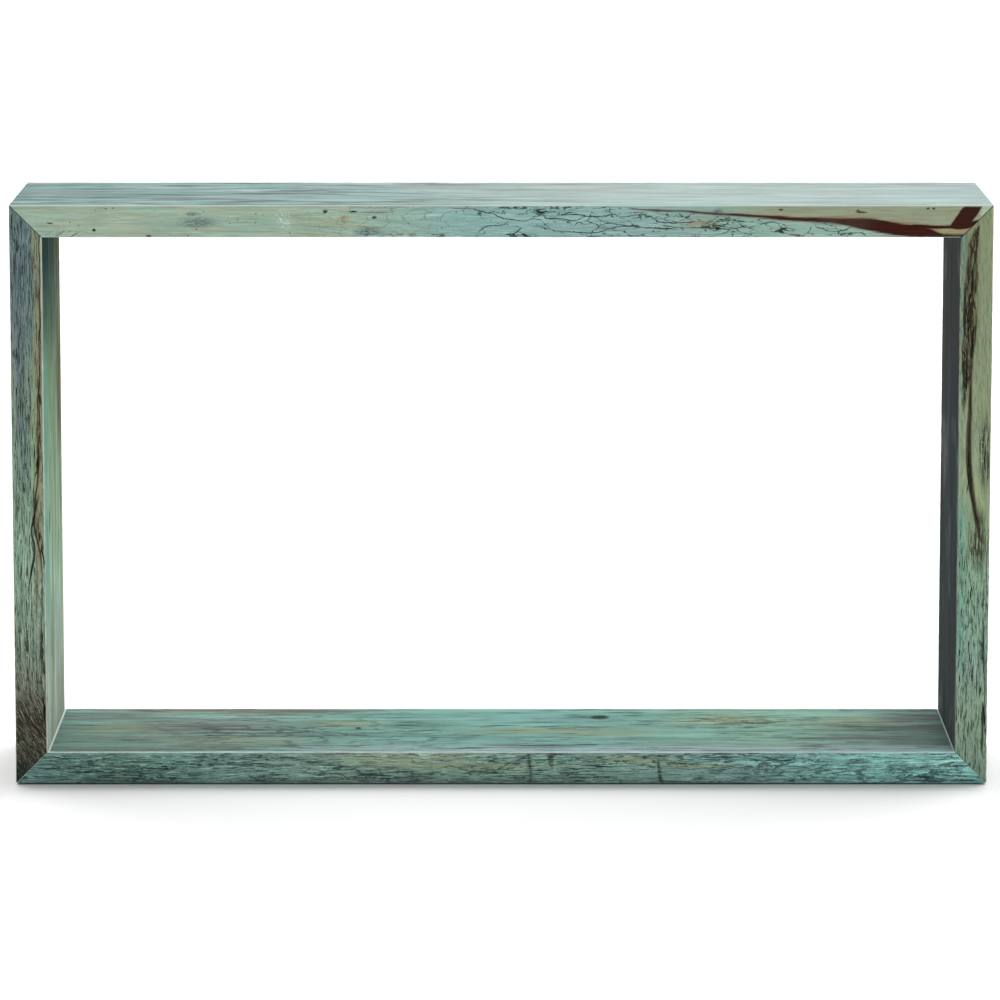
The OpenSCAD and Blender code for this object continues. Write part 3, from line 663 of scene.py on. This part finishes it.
def moss_and_bark_wood():
    """The right board: moss green with a dark, cracked band of bark brown, and charcoal on its inner face that is
    partly the wood's own colour and partly painted shade.
    """
    material, tree, surface = new_material("moss_and_bark_wood")
    u, v, w, grain = board_space(tree, "Z", "X", SIDE_MID_MM)
    front, outer, inner, outer_arris, arris = face_masks(tree, v, w)
    lift = 1 / LEG_FRONT_LIGHT
    rolling = wander(tree, grain, 120, 30, 4, 5)
    soft = add(tree, "SeparateXYZ", [wander(tree, grain, 50, 14, 2.5, 11)]).node.outputs
    su, sv = soft["X"], soft["Y"]

    body = tones(tree, u, 0, TABLE_H_MM, [
        "#75917e", "#89a28a", "#83a190", "#83a38a", "#839a7a", "#8d9c7e", "#869374", "#7e8a6c", "#7c8567", "#7d8563"], lift)
    body = figure(tree, body, rolling, ((260, 9, 0.15), (80, 2.8, 0.15), (20, 1.0, 0.1)), 3)
    aqua = together(tree, ramp(tree, v, -6, -18), ramp(tree, u, 470, 420), ramp(tree, u, 120, 240))
    blue_edge = together(tree, ramp(tree, v, -15, -21), ramp(tree, u, 560, 620))
    smooth_moss = together(tree, ramp(tree, sv, 2, 8), ramp(tree, u, 440, 540))
    torn = add(tree, "SeparateXYZ", [wander(tree, grain, 44, 7, 6, 47)]).node.outputs["Y"]
    band = vein(tree, su, torn, [(560, -20), (644, -15), (702, -11), (800, -9), (859, -4), (885, 2)],
                [(560, -4), (644, 6), (702, 11), (800, 10), (859, 6), (885, -4)], 2.5)
    bare = ramp(tree, streaks(tree, rolling, 70, 6, 49, 3), 0.38, 0.50)
    band_texture = add(tree, "Math", [
        ramp(tree, streaks(tree, rolling, 60, 2.4, 13, 5), 0.49, 0.53),
        zone_lines(tree, rolling, 40, 4.2, 0.45, 39)], operation="MAXIMUM")
    stain = vein(tree, su, sv, [(380, 14), (420, 4), (470, -4), (520, -9), (600, -8), (700, -6)],
                 [(380, -2), (420, 3.4), (470, 4), (520, 4.5), (600, 3.4), (700, -2)], 1.6)
    core = vein(tree, su, sv, [(400, 9), (440, 0), (480, -6), (540, -8.5), (620, -6)],
                [(400, -1), (440, 1.4), (480, 2.2), (540, 1.6), (620, -0.5)], 1.0)
    lower_fan = together(tree, spots(tree, su, sv, [(396, 8, 44, 12)], 0.6),
                         ramp(tree, streaks(tree, rolling, 44, 2.6, 17, 5), 0.45, 0.51))
    sprinkle = together(tree, ramp(tree, streaks(tree, rolling, 16, 1.6, 45, 4), 0.55, 0.62), ramp(tree, u, 420, 340))
    knot = together(tree, spots(tree, su, sv, [(524, 16, 56, 9), (500, 20, 22, 8)], 0.5),
                    ramp(tree, streaks(tree, rolling, 44, 2.0, 19, 5), 0.42, 0.53))
    straw = spots(tree, su, sv, [(458, 8, 34, 10)], 0.6)
    pale_specks = together(tree, spots(tree, su, sv, [(530, 12, 36, 7)], 0.6), pits(tree, grain, 5, 3, 0.35, 0.5, 23))
    side_crack = vein(tree, su, sv, [(30, 21), (90, 18), (130, 20), (200, 19), (250, 17), (300, 18)],
                      [(30, -1), (60, 0.8), (90, 1.6), (118, 2.8), (130, 0.8), (250, 0.8), (300, -1)], 0.9)
    flecks = add(tree, "Math", [
        ramp(tree, streaks(tree, rolling, 20, 1.6, 29, 5), 0.54, 0.585),
        ramp(tree, streaks(tree, rolling, 80, 1.1, 33, 5), 0.56, 0.60)], operation="MAXIMUM")
    fleck_region = ramp(tree, u, 430, 380, 0.35, 1)
    checks = add(tree, "Math", [together(tree, flecks, fleck_region), add(tree, "Math", [
        core, side_crack], operation="MAXIMUM")], operation="MAXIMUM")
    areas = coats(tree, body, [
        (aqua, linear("#68a292", lift), 0.55), (blue_edge, linear("#5f8c86", lift), 0.7),
        (smooth_moss, linear("#82906f", lift), 0.75), (straw, linear("#98a67c", lift), 0.8),
        (together(tree, band, bare), linear("#66593a", lift), 0.75)])
    front_colour = coats(tree, figure(tree, areas, rolling, ((60, 4, 0.12), (26, 1.2, 0.16)), 85), [
        (together(tree, band, band_texture), linear("#15110b", lift), 0.95),
        (stain, linear("#3f2a1c", lift), 0.9), (lower_fan, linear("#35230f", lift), 0.9),
        (knot, linear("#1c2a26", lift), 0.9), (sprinkle, linear("#a4c4ac", lift), 0.5), (pale_specks, linear("#b9c4ae", lift), 0.6),
        (checks, linear("#12100c", lift), 0.92)])

    inner_lift = 1 / RIGHT_INNER_LIGHT
    # The charcoal of the inner face is partly the wood's own colour and partly painted shade.
    flat = tones(tree, u, 0, TABLE_H_MM, [
        "#4c4f52", "#4a4d50", "#45484a", "#404446", "#3d4344", "#3f4445", "#404345", "#424244", "#434243", "#454444"],
        inner_lift)
    flat = figure(tree, flat, grain, ((520, 60, 0.25), (240, 20, 0.22), (80, 6, 0.1)), 31)
    night = ramp(tree, streaks(tree, grain, 420, 30, 37, 3), 0.50, 0.62)
    inner_colour = coats(tree, flat, [(night, linear("#2f3f44", inner_lift), 0.4),
                                       (together(tree, ramp(tree, w, 40, 130), ramp(tree, u, 300, 500)), linear("#463f3b", inner_lift), 0.6)])

    worn = together(tree, outer_arris, ramp(tree, streaks(tree, grain, 30, 6, 41), 0.42, 0.55))
    plain = outer_wood(tree, body, grain, rolling, flecks, ("#4f6a60", "#8e8a62", "#1a1d16"), lift)
    plain = other_faces(tree, w, plain, front_colour, LEG_FRONT_LIGHT / OUTER_LIGHT, LEG_FRONT_LIGHT / REAR_LIGHT)
    # Painted shade on the walls of the cracks and pits.
    colour = coats(tree, plain, [
        (front, front_colour, 1), (inner, inner_colour, 1), (worn, linear("#b9b08c", lift), 0.5),
        (together(tree, mitre_seam(tree, u, v, MIDDLE.z / MM, HALF.z / MM, 1.1), ramp(tree, u, 400, 500)),
         linear("#20231c"), 0.85),
        (inside_cracks(tree, v, w), linear("#15120d"), 0.95)])
    relief = add(tree, "Math", [checks, -0.8, add(tree, "Math", [
        streaks(tree, grain, 30, 1.0, 43), -0.6], operation="MULTIPLY")], operation="MULTIPLY_ADD")
    gloss = coats(tree, ramp(tree, v, -25, 25, 0.12, 0.13), [(inner, (0, 0, 0, 1), 1)])
    varnish(tree, surface, colour, relief, 0.5, gloss)
    return material


def pressed_beech():
    """A loose tenon: bare pressed beech, pale straw brown with short dark rays."""
    material, tree, surface = new_material("pressed_beech")
    place = add(tree, "VectorMath", {0: add(tree, "TexCoord", out=3), "Scale": 1 / MM}, operation="SCALE")
    rays = pits(tree, place, 3, 0.8, 0.3, 0.4, 3)
    cloud = streaks(tree, place, 30, 6, 5)
    colour = coats(tree, linear("#c49a6c"), [(ramp(tree, cloud, 0.4, 0.65), linear("#d8b488"), 0.8),
                                             (rays, linear("#8d6237"), 0.7)])
    normal = add(tree, "Bump", {"Strength": 0.4, "Distance": 0.2 * MM, "Height": cloud})
    tree.links.new(add(tree, "BsdfPrincipled", {"Base Color": colour, "Roughness": 0.7, "Normal": normal}), surface)
    return material


def moulded_nylon():
    """A floor glide: dark brown nylon, finely mottled from the mould and greyer where the floor scuffs it."""
    material, tree, surface = new_material("moulded_nylon")
    place = add(tree, "VectorMath", {0: add(tree, "TexCoord", out=3), "Scale": 1 / MM}, operation="SCALE")
    height = add(tree, "SeparateXYZ", [place]).node.outputs["Z"]
    mottle = streaks(tree, place, 0.8, 0.8, 3)
    scuffs = together(tree, ramp(tree, height, 0.6, 0.1), ramp(tree, streaks(tree, place, 6, 0.5, 7), 0.5, 0.6))
    colour = coats(tree, linear("#33281f"), [(ramp(tree, mottle, 0.4, 0.6), linear("#3d3128"), 0.8),
                                             (scuffs, linear("#7b7268"), 0.6)])
    normal = add(tree, "Bump", {"Strength": 0.3, "Distance": 0.1 * MM, "Height": mottle})
    tree.links.new(add(tree, "BsdfPrincipled", {
        "Base Color": colour, "Roughness": ramp(tree, scuffs, 0, 1, 0.42, 0.7), "Normal": normal}), surface)
    return material


def zinc_plate():
    """A wood screw: bright zinc plate with a faint blue and yellow cast and fine turning marks."""
    material, tree, surface = new_material("zinc_plate")
    place = add(tree, "VectorMath", {0: add(tree, "TexCoord", out=3), "Scale": 1 / MM}, operation="SCALE")
    cast = streaks(tree, place, 3, 3, 3)
    marks = streaks(tree, place, 5, 0.15, 5)
    colour = coats(tree, linear("#c3c8cc"), [(ramp(tree, cast, 0.42, 0.6), linear("#d2cba8"), 0.6)])
    tree.links.new(add(tree, "BsdfPrincipled", {
        "Base Color": colour, "Metallic": 1.0, "Roughness": ramp(tree, marks, 0.3, 0.7, 0.22, 0.42)}), surface)
    return material


# ---------------------------------------------------------------------------------------------
# Modelling, as by hand
# ---------------------------------------------------------------------------------------------

def start(name, primitive, **settings):
    """Adds a primitive with nothing else selected, and opens it in edit mode."""
    bpy.ops.object.select_all(action="DESELECT")
    getattr(bpy.ops.mesh, f"primitive_{primitive}_add")(**settings)
    piece = bpy.context.object
    piece.name = name
    bpy.ops.object.transform_apply(location=True, rotation=True, scale=True)
    bpy.ops.object.mode_set(mode="EDIT")
    return piece


def pick(piece, parts, test):
    """Selects the verts, edges or faces that pass a test, and nothing else."""
    bpy.ops.mesh.select_mode(type={"verts": "VERT", "edges": "EDGE", "faces": "FACE"}[parts])
    bpy.ops.mesh.select_all(action="DESELECT")
    mesh = bmesh.from_edit_mesh(piece.data)
    for part in getattr(mesh, parts):
        if test(part):
            part.select_set(True)
    mesh.select_flush_mode()
    bmesh.update_edit_mesh(piece.data)


def edge_way(edge):
    """The direction and length of an edge."""
    way = edge.verts[1].co - edge.verts[0].co
    return way.normalized(), way.length


def cut(point, normal):
    """Cuts off what lies on the normal's side of a plane, and closes the cut."""
    bpy.ops.mesh.select_all(action="SELECT")
    bpy.ops.mesh.bisect(plane_co=point, plane_no=normal, use_fill=True, clear_outer=True)


def apply_modifier(piece, kind, **settings):
    bpy.ops.object.select_all(action="DESELECT")
    piece.select_set(True)
    bpy.context.view_layer.objects.active = piece
    modifier = piece.modifiers.new(kind.lower(), kind)
    for name, value in settings.items():
        setattr(modifier, name, value)
    bpy.ops.object.modifier_apply(modifier=modifier.name)


def cloud_texture(name, size, contrast=1.0):
    texture = bpy.data.textures.new(name, "CLOUDS")
    texture.noise_scale = size
    texture.noise_depth = 3
    texture.contrast = contrast
    return texture


HAND_SANDING = cloud_texture("hand_sanding", 0.14)
ARRIS_WEAR = cloud_texture("arris_wear", 0.012, 1.6)
CRACK_WANDER = cloud_texture("crack_wander", 0.02, 1.5)


def frame_board(name, outward, worn):
    """
    One board of the frame: the rounded block of the whole frame, cut to the board's thickness and mitred at
    45 degrees, its inner arrises eased last. Then its faces are divided finely, so that sanding and wear
    can be worked into them. The worn stretches are given as (side through the board, from, to) in mm.
    """
    outward = Vector(outward)
    grain_way = Vector((abs(outward.z), 0, abs(outward.x)))
    thick = abs(HALF.dot(outward))
    reach = abs(HALF.dot(grain_way))
    inner_point = MIDDLE + outward * (thick - BOARD_T)

    piece = start(name, "cube", size=1, location=MIDDLE, scale=HALF * 2)
    bpy.ops.mesh.select_all(action="SELECT")
    bpy.ops.mesh.bevel(offset=ARRIS, segments=4, affect="EDGES")
    cut(inner_point, -outward)
    for end in (-1, 1):
        corner = inner_point + grain_way * end * (reach - BOARD_T)
        cut(corner, (grain_way * end - outward).normalized())
    pick(piece, "edges", lambda edge: abs(edge_way(edge)[0].dot(grain_way)) > 0.99 and all(
        abs((vert.co - inner_point).dot(outward)) < 1e-5 and abs(abs(vert.co.y - MIDDLE.y) - HALF.y) < 1e-5
        for vert in edge.verts))
    bpy.ops.mesh.bevel(offset=ARRIS, segments=4, affect="EDGES")
    pick(piece, "faces", lambda face: abs(abs(face.normal.dot(grain_way)) - math.sqrt(0.5)) < 1e-3
         and face.calc_area() > BOARD_T * HALF.y)
    bpy.ops.mesh.region_to_loop()
    bpy.ops.mesh.bevel(offset=0.3 * MM, segments=1, affect="EDGES")

    pick(piece, "edges", lambda edge: abs(edge_way(edge)[0].y) > 0.99 and edge_way(edge)[1] > HALF.y)
    bpy.ops.mesh.subdivide(number_cuts=24)
    pick(piece, "edges", lambda edge: abs(edge_way(edge)[0].y) < 0.01 and edge_way(edge)[1] > HALF_T
         and abs(edge_way(edge)[0].dot(grain_way)) < 0.9)
    bpy.ops.mesh.subdivide(number_cuts=12)
    for cuts in (int(reach * 2 / (16 * MM)), 3):
        pick(piece, "edges", lambda edge: abs(edge_way(edge)[0].dot(grain_way)) > 0.99
             and edge_way(edge)[1] > 8 * MM)
        bpy.ops.mesh.subdivide(number_cuts=cuts)
    bpy.ops.object.mode_set(mode="OBJECT")

    board_middle = MIDDLE + outward * (thick - HALF_T)
    arris = piece.vertex_groups.new(name="arris")
    chips = piece.vertex_groups.new(name="chips")
    for vert in piece.data.vertices:
        place = vert.co - board_middle
        through = place.dot(outward)
        on_arris = HALF.y - abs(place.y) < ARRIS * 1.1 and HALF_T - abs(through) < ARRIS * 1.1
        if on_arris:
            arris.add([vert.index], 1.0, "REPLACE")
            along = vert.co.dot(grain_way) / MM
            if place.y < 0 and any(through * side > 0 and low < along < high for side, low, high in worn):
                chips.add([vert.index], 1.0, "REPLACE")
    apply_modifier(piece, "DISPLACE", texture=HAND_SANDING, texture_coords="GLOBAL", mid_level=1.0,
                   strength=0.5 * MM)
    apply_modifier(piece, "DISPLACE", texture=ARRIS_WEAR, texture_coords="GLOBAL", mid_level=1.0,
                   strength=0.3 * MM, vertex_group="arris")
    apply_modifier(piece, "DISPLACE", texture=ARRIS_WEAR, texture_coords="GLOBAL", mid_level=1.0,
                   strength=0.8 * MM, vertex_group="chips")
    return piece


def split(board, grain_way, cracks):
    """
    Opens cracks and pits in a board: each is a slender lens, (x, y, z of its middle, half length, half width,
    half depth, lean in degrees) in mm, that wanders a little, cut out of the board.
    """
    lenses = []
    for x, y, z, half_length, half_width, half_depth, lean in cracks:
        lens = start("lens", "uv_sphere", segments=16, ring_count=14, radius=1)
        bpy.ops.object.mode_set(mode="OBJECT")
        on_front = abs(abs(y) - HALF_D_MM) < 1
        upright = grain_way == "Z"
        lens.rotation_euler = (0, 0, 0)
        if on_front:
            lens.scale = (half_width * MM, half_depth * MM, half_length * MM)
            lens.rotation_euler = (0, math.radians((0 if upright else 90) + lean), 0)
        elif upright:
            lens.scale = (half_depth * MM, half_width * MM, half_length * MM)
            lens.rotation_euler = (math.radians(lean), 0, 0)
        else:
            lens.scale = (half_length * MM, half_width * MM, half_depth * MM)
            lens.rotation_euler = (0, 0, math.radians(lean))
        lens.location = (x * MM, y * MM, z * MM)
        bpy.ops.object.transform_apply(location=True, rotation=True, scale=True)
        apply_modifier(lens, "DISPLACE", texture=CRACK_WANDER, texture_coords="GLOBAL", mid_level=0.5,
                       strength=min(6.0, half_width * 4 + half_length * 0.02) * MM,
                       direction=("X" if upright else "Z") if on_front else "Y")
        lenses.append(lens)
    bpy.ops.object.select_all(action="DESELECT")
    for lens in lenses:
        lens.select_set(True)
    bpy.context.view_layer.objects.active = lenses[0]
    bpy.ops.object.join()
    apply_modifier(board, "BOOLEAN", object=lenses[0], operation="DIFFERENCE", solver="MANIFOLD")
    bpy.data.objects.remove(lenses[0], do_unlink=True)


def finish_piece(piece, node, material, smooth=35):
    """Shades a piece, gives it its material, hides the CAD node that it stands for, and hangs the piece under the root
    body.
    """
    bpy.ops.object.select_all(action="DESELECT")
    piece.select_set(True)
    bpy.context.view_layer.objects.active = piece
    bpy.ops.object.shade_smooth_by_angle(angle=math.radians(smooth))
    piece.data.materials.clear()
    piece.data.materials.append(material)
    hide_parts(node)
    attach(piece, "root")


def loose_tenon():
    """A pressed beech tenon lying along X at the origin: round edges, chamfered ends, fine flutes."""
    low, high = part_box("tenon_top_left_1")
    width = high.y - low.y
    length, thick = 44 * MM, 10 * MM
    piece = start("loose_tenon", "cube", size=1, scale=(length, width, thick))
    pick(piece, "edges", lambda edge: abs(edge_way(edge)[0].x) > 0.99)
    bpy.ops.mesh.bevel(offset=thick * 0.499, segments=8, affect="EDGES")
    pick(piece, "faces", lambda face: abs(face.normal.x) > 0.99)
    bpy.ops.mesh.region_to_loop()
    bpy.ops.mesh.bevel(offset=0.8 * MM, segments=2, affect="EDGES")
    pick(piece, "edges", lambda edge: abs(edge_way(edge)[0].y) > 0.99 and edge_way(edge)[1] > width / 2)
    bpy.ops.mesh.subdivide(number_cuts=16)
    pick(piece, "faces", lambda face: abs(face.normal.z) > 0.99
         and face.calc_area() > length * 1 * MM
         and int((face.calc_center_median().y + width) / (2 * MM)) % 2 == 0)
    bpy.ops.mesh.inset(thickness=0.35 * MM, depth=-0.3 * MM, use_individual=True)
    bpy.ops.object.mode_set(mode="OBJECT")
    return piece


def floor_glide():
    """A moulded glide at the origin, its face on the floor: rounded rim, a groove, and a countersunk hole."""
    low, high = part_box("glide_front_left")
    radius, thick = (high.x - low.x) / 2, high.z - low.z
    piece = start("floor_glide", "cylinder", vertices=64, radius=radius, depth=thick, location=(0, 0, thick / 2))
    pick(piece, "edges", lambda edge: abs(edge_way(edge)[0].z) < 0.01)
    bpy.ops.mesh.bevel(offset=0.5 * MM, segments=3, affect="EDGES")
    pick(piece, "faces", lambda face: face.normal.z < -0.99 and face.calc_area() > radius * radius)
    for thickness, depth in ((2.5, 0), (0.3, -0.5), (0.8, 0), (0.3, 0.5)):
        bpy.ops.mesh.inset(thickness=thickness * MM, depth=depth * MM)
    bpy.ops.object.mode_set(mode="OBJECT")
    hole = start("hole", "cylinder", vertices=48, radius=2.2 * MM, depth=4 * thick)
    bpy.ops.object.mode_set(mode="OBJECT")
    apply_modifier(piece, "BOOLEAN", object=hole, operation="DIFFERENCE", solver="MANIFOLD")
    sink = start("sink", "cone", vertices=48, radius1=4.2 * MM, radius2=2.19 * MM, depth=1.8 * MM,
                 location=(0, 0, 2.1 * MM))
    pick(sink, "faces", lambda face: face.normal.z < -0.99)
    bpy.ops.mesh.extrude_region_move(TRANSFORM_OT_translate={"value": (0, 0, -3 * MM)})
    bpy.ops.object.mode_set(mode="OBJECT")
    apply_modifier(piece, "BOOLEAN", object=sink, operation="DIFFERENCE", solver="MANIFOLD")
    for tool in (hole, sink):
        bpy.data.objects.remove(tool, do_unlink=True)
    return piece


def wood_screw():
    """A countersunk wood screw at the origin, head down: cone, helical thread, point and cross recess."""
    low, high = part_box("glide_screw_front_left")
    head, total, base = (high.x - low.x) / 2, high.z - low.z, low.z
    crest, root, pitch = 2.0 * MM, 1.35 * MM, 1.8 * MM
    rim, neck = base + 0.4 * MM, base + 2.4 * MM + 0.4 * MM
    tip = base + total
    piece = start("wood_screw", "cylinder", vertices=24, radius=head, depth=0.4 * MM,
                  location=(0, 0, base + 0.2 * MM))

    def grow(to_z, radius):
        """Extrudes the top face to a height and a radius."""
        pick(piece, "faces", lambda face: face.normal.z > 0.9 and face.calc_center_median().z > grow.height - 1e-6)
        bpy.ops.mesh.extrude_region_move(TRANSFORM_OT_translate={"value": (0, 0, to_z - grow.height)})
        size = radius / grow.radius
        bpy.ops.transform.resize(value=(size, size, 1), center_override=(0, 0, to_z))
        grow.height, grow.radius = to_z, radius

    grow.height, grow.radius = rim, head
    grow(neck, root)
    steps = 8
    rings = int((tip - 4 * MM - neck) / (pitch / steps))
    for _ in range(rings):
        grow(grow.height + pitch / steps, root)
    thread_top = grow.height
    for phase in range(1, steps):
        swell = 1 + (crest / root - 1) * math.sin(math.pi * phase / steps) ** 3
        pick(piece, "verts", lambda vert: neck + pitch / 4 < vert.co.z < thread_top - pitch / 4 and round(
            steps * ((vert.co.z - neck) / pitch - math.atan2(vert.co.y, vert.co.x) / math.tau)) % steps == phase)
        bpy.ops.transform.resize(value=(swell, swell, 1), center_override=(0, 0, 0))
    grow(tip - 1.0 * MM, root * 0.45)
    grow(tip, root * 0.05)
    bpy.ops.object.mode_set(mode="OBJECT")
    for turn in (0, 90):
        slot = start("slot", "cube", size=1, scale=(4 * MM, 0.9 * MM, 3 * MM), location=(0, 0, base))
        pick(slot, "faces", lambda face: face.normal.z > 0.9)
        bpy.ops.transform.resize(value=(0.6, 0.7, 1), center_override=(0, 0, base))
        bpy.ops.object.mode_set(mode="OBJECT")
        slot.rotation_euler = (0, 0, math.radians(turn))
        apply_modifier(piece, "BOOLEAN", object=slot, operation="DIFFERENCE", solver="MANIFOLD")
        bpy.data.objects.remove(slot, do_unlink=True)
    return piece


def place_copies(model, names, places, turns, material):
    """Puts a copy of a model, each with its own mesh, at every place, then takes the model away."""
    for (name, node), place, turn in zip(names, places, turns):
        copy = bpy.data.objects.new(name, model.data.copy())
        bpy.context.collection.objects.link(copy)
        copy.location = place
        copy.rotation_euler = turn
        bpy.ops.object.select_all(action="DESELECT")
        copy.select_set(True)
        bpy.context.view_layer.objects.active = copy
        bpy.ops.object.transform_apply(location=True, rotation=True, scale=True)
        finish_piece(copy, node, material)
    bpy.data.objects.remove(model, do_unlink=True)


def box_middle(node):
    low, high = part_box(node)
    return (low + high) / 2


# ---------------------------------------------------------------------------------------------
# The table
# ---------------------------------------------------------------------------------------------

FRONT = -HALF_D_MM

def make_boards():
    board = frame_board("top_plank", (0, 0, 1), [(-1, -240, -60)])
    split(board, "X", [
        (-630, FRONT, 875, 2.6, 1.6, 3, 0), (-273, FRONT, 904, 3, 1.6, 3, 0), (557, FRONT, 903, 6, 1.0, 3, 0),
        (-545, FRONT, 865, 4, 1.4, 3, 0), (60, FRONT, 904, 9, 1.1, 3, 25), (100, FRONT, 900, 12, 0.9, 3, -8),
        (-229, FRONT, 904, 4, 0.9, 3, 0)])
    finish_piece(board, "top_board", sage_wood_with_heart_streak())

    board = frame_board("shelf_plank", (0, 0, -1), [(-1, -700, 700)])
    split(board, "X", [
        (-560, FRONT, 36, 22, 0.7, 3, 2), (-470, FRONT, 44, 14, 0.8, 3, -6), (-380, FRONT, 34, 26, 0.7, 3, 3),
        (-250, FRONT, 28, 18, 0.8, 3, -3), (-90, FRONT, 38, 14, 0.8, 3, 5), (60, FRONT, 40, 22, 0.7, 3, -4),
        (150, FRONT, 30, 24, 0.7, 3, 6), (330, FRONT, 44, 22, 0.8, 3, 0), (430, FRONT, 40, 26, 0.9, 3, 8),
        (560, FRONT, 34, 24, 0.7, 3, -2), (-10, FRONT, 20, 18, 0.7, 3, 0), (-640, FRONT, 20, 20, 0.7, 3, 0)])
    pockets = []
    for foot in FEET:
        middle = box_middle(f"glide_{foot}")
        pocket = start("pocket", "cylinder", vertices=64, radius=15.3 * MM, depth=10 * MM,
                       location=(middle.x, middle.y, 0))
        bpy.ops.object.mode_set(mode="OBJECT")
        bore = start("bore", "cylinder", vertices=32, radius=2.05 * MM, depth=53.6 * MM,
                     location=(middle.x, middle.y, 0))
        bpy.ops.object.mode_set(mode="OBJECT")
        pockets += [pocket, bore]
    for tool in pockets:
        apply_modifier(board, "BOOLEAN", object=tool, operation="DIFFERENCE", solver="MANIFOLD")
        bpy.data.objects.remove(tool, do_unlink=True)
    finish_piece(board, "bottom_board", dark_teal_wood())

    board = frame_board("left_plank", (-1, 0, 0), [(-1, 100, 820)])
    split(board, "Z", [
        (-716, FRONT, 760, 80, 0.6, 4, 1), (-718, FRONT, 590, 60, 0.7, 4, -1), (-722, FRONT, 505, 18, 1.6, 5, 8),
        (-727, FRONT, 430, 26, 1.1, 4, 12), (-716, FRONT, 372, 30, 1.0, 4, -4), (-718, FRONT, 215, 34, 0.9, 4, 0),
        (-716, FRONT, 120, 26, 1.1, 4, -4), (-733, FRONT, 340, 26, 0.8, 4, 10), (-742, FRONT, 250, 16, 0.6, 3, 0),
        (-748, FRONT, 600, 22, 0.6, 3, 0), (-730, FRONT, 90, 20, 0.5, 4, -38), (-744, FRONT, 110, 20, 0.45, 4, -40),
        (-724, FRONT, 140, 18, 0.5, 4, -30), (-735, FRONT, 60, 16, 0.45, 4, -42), (-748, FRONT, 700, 16, 0.5, 3, 0),
        (-711, -88, 405, 18, 1.6, 3, 0)])
    finish_piece(board, "left_side_board", storm_grey_wood())

    board = frame_board("right_plank", (1, 0, 0), [(-1, 560, 820), (1, 60, 220)])
    split(board, "Z", [
        (729, FRONT, 790, 40, 1.0, 4, 4), (724, FRONT, 730, 34, 1.2, 4, -3), (731, FRONT, 700, 26, 0.9, 4, 6),
        (722, FRONT, 650, 30, 1.1, 4, 2), (729, FRONT, 610, 26, 0.9, 4, -5), (727, FRONT, 500, 40, 0.9, 4, 3),
        (741, FRONT, 425, 18, 0.8, 3, -14), (753, FRONT, 520, 14, 1.0, 3, 0), (756, FRONT, 110, 24, 1.2, 4, 0),
        (754, FRONT, 210, 34, 0.8, 4, -2), (722, FRONT, 255, 16, 0.6, 3, 0), (734, FRONT, 300, 18, 0.6, 3, 0),
        (744, FRONT, 160, 16, 0.6, 3, 0), (728, FRONT, 150, 14, 0.6, 3, 0)])
    finish_piece(board, "right_side_board", moss_and_bark_wood())


def make_tenons():
    names, places, turns = [], [], []
    for mitre, (side, level) in TENON_PLACES.items():
        for i in range(1, TENONS_PER_MITRE + 1):
            node = f"tenon_{mitre}_{i}"
            names.append((f"beech_tenon_{mitre}_{i}", node))
            places.append(box_middle(node))
            turns.append((0, math.radians(45 * side * level), 0))
    place_copies(loose_tenon(), names, places, turns, pressed_beech())


def make_feet():
    for kind, model, slot, material in (
            ("glide", floor_glide(), "glide_nylon", moulded_nylon()),
            ("glide_screw", wood_screw(), "screw_steel", zinc_plate())):
        nodes = [f"{kind}_{foot}" for foot in FEET]
        middles = [box_middle(node) for node in nodes]
        place_copies(model, [(f"table_{node}", node) for node in nodes],
                     [(middle.x, middle.y, 0) for middle in middles], [(0, 0, 0)] * len(FEET), material)


# ---------------------------------------------------------------------------------------------
# Stage, light and camera
# ---------------------------------------------------------------------------------------------

def make_floor():
    """A pale seamless paper floor, lit past white, so that only the soft shadow under the table shows."""
    bpy.ops.object.select_all(action="DESELECT")
    bpy.ops.mesh.primitive_plane_add(size=120, location=(0, 30, 0))
    floor = bpy.context.object
    floor.name = "paper_floor"
    material, tree, surface = new_material("seamless_paper")
    tree.links.new(add(tree, "BsdfDiffuse", {"Color": linear("#f4f4f4")}), surface)
    floor.data.materials.append(material)


def add_lamp(name, kind, place, aim, energy, **settings):
    bpy.ops.object.light_add(type=kind, location=place)
    lamp = bpy.context.object
    lamp.name = name
    lamp.rotation_euler = (Vector(place) - Vector(aim)).to_track_quat("Z", "Y").to_euler()
    lamp.data.energy = energy
    for setting, value in settings.items():
        setattr(lamp.data, setting, value)
    lamp.visible_camera = False
    return lamp


def make_light():
    """A room that looks white and lights softly, a broad key from above, behind and right, and a softbox that glances off the top."""
    world = bpy.data.worlds.new("white_room")
    bpy.context.scene.world = world
    world.use_nodes = True
    tree = world.node_tree
    tree.nodes.clear()
    output = tree.nodes.new("ShaderNodeOutputWorld")
    strength = add(tree, "MapRange", [add(tree, "LightPath"), 0, 1, 0.45, 1])
    tree.links.new(add(tree, "Background", {"Color": (1, 1, 1, 1), "Strength": strength}), output.inputs["Surface"])
    key = add_lamp("key", "SUN", (0.5, 3.0, 3.9), (0, 0, 0), 4.2, angle=math.radians(80))
    key.visible_glossy = False
    add_lamp("glance", "AREA", (2.6, 6.0, 1.75), (0.5, 0, 0.9), 20, shape="RECTANGLE", size=5.0, size_y=1.6)


def make_camera():
    bpy.ops.object.camera_add(location=(-0.002, -9.0, 1.826))
    camera = bpy.context.object
    camera.rotation_euler = (math.radians(90 - 8.85), 0, 0)
    camera.data.sensor_width = 36
    camera.data.lens = 206.3
    camera.data.clip_end = 200
    bpy.context.scene.camera = camera


make_boards()
make_tenons()
make_feet()
make_floor()
make_light()
make_camera()
bpy.context.scene.view_settings.view_transform = "Standard"
